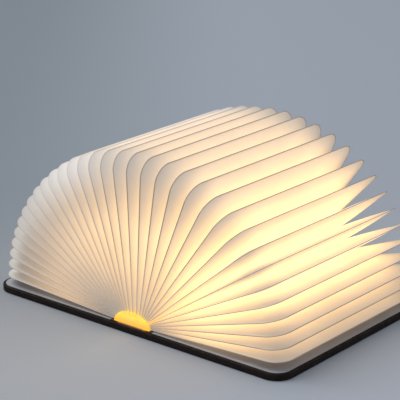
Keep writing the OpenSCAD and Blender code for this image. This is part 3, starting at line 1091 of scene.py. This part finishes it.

# %% [markdown]
# ## The toothed plugs
# Each end of the arch is a half-ellipse plug in two halves, one on each side of the spine. The
# teeth could be wedges set on it, but a triangle wave of the ellipse's angle draws them into its
# outline.

# %% Amber arch
TOOTH_HEIGHT = 0.09
ARCH_STEPS = 131
ARCH_RISE = 0.9 * MM
ARCH_PROUD = 0.6 * MM
ARCH_CLEARANCE = 2 * MM


def build_arch():
    """Quarter-ellipse plugs: the toothed ellipse as outer half of each ring, the base line as inner
    half. A tooth's height is a triangle wave of the angle."""
    a, b = arch_high.x, arch_high.z - arch_low.z + ARCH_RISE
    base = lining_top + 2 * FIT
    angle = np.linspace(0, math.pi / 2, ARCH_STEPS)
    tooth = 1 - TOOTH_HEIGHT * 2 * np.abs(angle * TEETH / math.pi % 1 - 0.5)
    front = -(page_half + ARCH_PROUD)
    depth = PLEAT_DEPTH - ARCH_CLEARANCE
    for side, word in SIDES:
        outer = np.stack([a * tooth * np.cos(angle), base + b * tooth * np.sin(angle)], 1)
        inner = np.stack([a * tooth * np.cos(angle), np.full(len(angle), base)], 1)
        section = np.concatenate([outer, inner[::-1]])
        halves = []
        for end in (1, -1):
            y = np.array([front, front + depth])[:, None] * end
            halves.append(shell("arch", ring_grid(side * section[:, 0], y, section[:, 1])))
        piece = place_piece(word + "_root_arch", joined("arch", halves), amber, sharp=50)
        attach(piece, "spine")
        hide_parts("root_collars")
        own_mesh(piece)


build_arch()
print("arch", round(2 * arch_high.x / MM, 1), "mm wide")

# %% [markdown]
# ## Finishes for the solid pieces
# The boards, the linings, the bar and what is inside it keep their CAD shape, and only need
# a finish each. They sit inside the lamp, but show when a fold is looked into from the side.
# Lining and board could be plain grey, but they are paper too, so they share its fibre.

# %% Lining and board
def dress(material, *nodes):
    """Gives CAD nodes a material."""
    for node in nodes:
        slots = frame["nodes"][node].material_slots
        for slot in slots:
            slot.material = material
        if not slots:
            frame["nodes"][node].data.materials.append(material)


def lining_finish():
    """Cool grey paper, from dark to pale by the cloudiness of the pulp."""
    finish = Finish("lining paper", Roughness=0.85, Specular_IOR_Level=0.3)
    fibre = finish.effect(fibre_group, Scale=800.0)
    cloud = span(finish.tree, fibre["Cloud"], 0.3, 0.7)
    finish.tones(cloud, (0.37, 0.375, 0.40), (0.45, 0.455, 0.48))
    finish.bump(fibre["Height"], 0.3, 0.03 * MM)
    return finish.material


def board_finish():
    """Grey board: cloudy fibre with dark specks where noise passes a threshold."""
    finish = Finish("grey board", Roughness=0.95)
    fibre = finish.effect(fibre_group, Scale=500.0)
    specks = span(finish.tree, noise(finish.tree, finish.point, 1600.0, 2), 0.66, 0.72)
    base = mixed(finish.tree, fibre["Cloud"], (0.27, 0.25, 0.22), (0.37, 0.34, 0.31))
    finish.tones(specks, base, (0.14, 0.12, 0.10))
    finish.bump(fibre["Height"], 0.5, 0.05 * MM)
    return finish.material


dress(lining_finish(), "right_lining", "left_lining")
dress(board_finish(), "spine_board", "right_cover_board", "left_cover_board")
print("grey paper on two linings and three boards")

# %% [markdown]
# ## Metal, plastic and the circuit board
# Magnets, screws, socket and battery are metal with brushed streaks. Tray, boards, chips and
# diffuser are moulded or coated, with two close tones and a fine texture. Each piece could
# have nodes of its own, but within a kind only colours and roughness differ, so each kind is
# one function. The circuit's tracks are a brick pattern.

# %% Metal, plastic, circuit
CLOUD_SCALE = 300.0


def metal_finish(name, colour, rough):
    """A metal: brushed streaks vary its roughness and relief."""
    finish = Finish(name, Metallic=1.0)
    streaks = finish.effect(brushed_group, Scale=2600.0)["Streaks"]
    finish.tones(streaks, tuple(0.85 * c for c in colour), colour)
    finish.set("Roughness", span(finish.tree, streaks, 0.2, 0.8, rough, rough + 0.2))
    finish.bump(streaks, 0.15, 0.01 * MM)
    return finish.material


def plastic_finish(name, low, high, rough, **plain):
    """A moulded or coated piece: two close tones and a texture twelve times finer."""
    finish = Finish(name, **plain)
    tone = noise(finish.tree, finish.point, CLOUD_SCALE, 4, 0.6)
    texture = noise(finish.tree, finish.point, CLOUD_SCALE * 12, 2)
    finish.tones(tone, low, high)
    finish.set("Roughness", span(finish.tree, texture, 0.3, 0.7, rough, rough + 0.12))
    finish.bump(texture, 0.2, 0.02 * MM)
    return finish.material


def circuit_finish():
    """Green lacquer with paler tracks where the brick pattern has its joints."""
    finish = Finish("green circuit", Roughness=0.35, Coat_Weight=0.3)
    tracks = finish.tree.nodes.new("ShaderNodeTexBrick")
    tracks.inputs["Scale"].default_value = 260.0
    tracks.inputs["Mortar Size"].default_value = 0.09
    finish.tree.links.new(finish.point, tracks.inputs["Vector"])
    line = tracks.outputs["Fac"]
    finish.tones(line, (0.012, 0.10, 0.035), (0.03, 0.19, 0.07))
    finish.bump(line, 0.4, 0.03 * MM)
    return finish.material


print("plastic clouds have a scale of", CLOUD_SCALE)

# %% [markdown]
# ## Dressing the solid pieces
# Each piece gets its finish by name. Chips and diffuser could light the scene as real lamps,
# but hidden in the spine they only need to look lit, so they have a little emission. The pipe
# and the switch are clear, so light passes through them.

# %% Dressed pieces
METALS = (("magnet nickel", (0.62, 0.61, 0.59), 0.22, "right_magnets left_magnets trigger_magnet"),
          ("screw steel", (0.55, 0.55, 0.56), 0.3, "tray_screws"),
          ("socket steel", (0.66, 0.66, 0.67), 0.25, "usb_socket"),
          ("battery foil", (0.72, 0.73, 0.75), 0.3, "battery"))
PLASTICS = (("tray plastic", (0.72, 0.70, 0.66), (0.80, 0.78, 0.74), 0.45, {}, "light_tray"),
            ("light board white", (0.76, 0.76, 0.74), (0.84, 0.84, 0.82), 0.3, {}, "led_board"),
            ("light chip", (0.95, 0.66, 0.14), (1.0, 0.78, 0.28), 0.35,
             {"Emission Color": (1.0, 0.62, 0.2), "Emission Strength": 1.5}, "led_chips"),
            ("amber diffuser", (0.95, 0.62, 0.22), (1.0, 0.72, 0.32), 0.45,
             {"Emission Color": (1.0, 0.60, 0.16), "Emission Strength": 1.2}, "diffuser"),
            ("clear pipe", (0.80, 0.88, 0.92), (0.88, 0.94, 0.97), 0.12,
             {"Transmission Weight": 0.6, "IOR": 1.49}, "charge_light_pipe"),
            ("switch glass", (0.45, 0.60, 0.50), (0.55, 0.70, 0.60), 0.1,
             {"Transmission Weight": 0.5, "IOR": 1.5}, "reed_switch"))


def build_finishes():
    """One finish for each row of the tables, and one for the circuit."""
    for name, colour, rough, nodes in METALS:
        dress(metal_finish(name, colour, rough), *nodes.split())
    for name, low, high, rough, plain, node in PLASTICS:
        dress(plastic_finish(name, low, high, rough, **plain), node)
    dress(circuit_finish(), "control_board")


build_finishes()
print("materials", len(bpy.data.materials))

# %% [markdown]
# ## Floor
# The lamp lies on a pale blue-grey surface. Its tones are painted light and shade, darker
# towards the far left: several lamps could shade it so, but they would light the paper too. One
# wide plane fills the view, and two smooth steps, across the view and away from it, blend four
# painted tones on it.

# %% Floor
FLOOR_HALF, FLOOR_Z = 6.0, -0.0001
TURN_COSINE, TURN_SINE = 0.772, 0.636
FLOOR_ACROSS, FLOOR_AWAY = (-0.18, 0.05), (0.16, -0.12)
# painted shade: four floor tones, darker far away and to the left
FAR_LEFT, FAR_RIGHT = (0.225, 0.255, 0.288), (0.355, 0.390, 0.445)
NEAR_LEFT, NEAR_RIGHT = (0.39, 0.40, 0.415), (0.41, 0.445, 0.505)


def floor_finish():
    """Four tones of painted light and shade blended by two level distances: across the view, and away
    from the viewer.
    """
    finish = Finish("studio floor", Roughness=0.7, Specular_IOR_Level=0.2)
    tree = finish.tree
    x, y, _ = coordinates(tree, finish.point)
    # X and Y turned by the camera's azimuth
    level_right = socket_math(tree, "ADD", socket_math(tree, "MULTIPLY", x, TURN_COSINE),
                              socket_math(tree, "MULTIPLY", y, TURN_SINE))
    level_away = socket_math(tree, "SUBTRACT", socket_math(tree, "MULTIPLY", y, TURN_COSINE),
                             socket_math(tree, "MULTIPLY", x, TURN_SINE))
    across = span(tree, level_right, *FLOOR_ACROSS)
    near = span(tree, level_away, *FLOOR_AWAY)
    far_colour = mixed(tree, across, FAR_LEFT, FAR_RIGHT)
    near_colour = mixed(tree, across, NEAR_LEFT, NEAR_RIGHT)
    finish.tones(near, far_colour, near_colour)
    return finish.material


def build_floor():
    """A square of one face, a little below the lamp's underside."""
    mesh = bpy.data.meshes.new("floor")
    signs = ((-1, -1), (1, -1), (1, 1), (-1, 1))
    mesh.from_pydata([(x * FLOOR_HALF, y * FLOOR_HALF, FLOOR_Z) for x, y in signs], [], [(0, 1, 2, 3)])
    floor = new_object("floor", mesh)
    mesh.materials.append(floor_finish())


build_floor()
print("floor", 2 * FLOOR_HALF, "m wide")

# %% [markdown]
# ## Light
# Soft room light leaves the paper's own glow to show. It could come from many small lamps, but
# one large disc high on the left and a pale surround need no more than a few values. The
# camera sees the surround darker than it shines, so that reflections stay calm.

# %% Light
LAMP_SIZE, LAMP_ENERGY = 1.6, 22.0
LAMP_PLACE, LAMP_TILT = (-1.2, -0.35, 1.8), (0.16, -0.56, 0)
SURROUND_LIGHT, SURROUND_STRENGTH = (0.93, 0.96, 1.0, 1), 0.56
SURROUND_SEEN = (0.33, 0.38, 0.42, 1)


def build_lamp():
    """One large soft disc, high on the left."""
    lamp_data = bpy.data.lights.new("soft_box", "AREA")
    lamp_data.shape = "DISK"
    lamp_data.size = LAMP_SIZE
    lamp_data.energy = LAMP_ENERGY
    lamp_data.color = (1.0, 1.0, 1.0)
    lamp = new_object("soft_box", lamp_data)
    lamp.location = LAMP_PLACE
    lamp.rotation_euler = LAMP_TILT


def build_surround():
    """Two backgrounds: one lights the scene, the other is what camera, mirror and clear rays see."""
    world = bpy.data.worlds.new("surround")
    world.use_nodes = True
    tree = world.node_tree
    back = tree.nodes["Background"]
    back.inputs["Color"].default_value = SURROUND_LIGHT
    back.inputs["Strength"].default_value = SURROUND_STRENGTH
    seen = tree.nodes.new("ShaderNodeBackground")
    seen.inputs["Color"].default_value = SURROUND_SEEN
    rays = tree.nodes.new("ShaderNodeLightPath")
    share = socket_math(tree, "MAXIMUM", rays.outputs["Is Camera Ray"],
                        socket_math(tree, "MAXIMUM", rays.outputs["Is Glossy Ray"],
                                    rays.outputs["Is Transmission Ray"]))
    mix = tree.nodes.new("ShaderNodeMixShader")
    tree.links.new(share, mix.inputs[0])
    tree.links.new(back.outputs[0], mix.inputs[1])
    tree.links.new(seen.outputs[0], mix.inputs[2])
    tree.links.new(mix.outputs[0], tree.nodes["World Output"].inputs["Surface"])
    bpy.context.scene.world = world


build_lamp()
build_surround()
bpy.context.scene.view_settings.view_transform = "Standard"
print("lamp", LAMP_ENERGY, "W, surround", SURROUND_STRENGTH)

# %% [markdown]
# ## Sizes
# The dressed lamp should fill the same box as its solids.
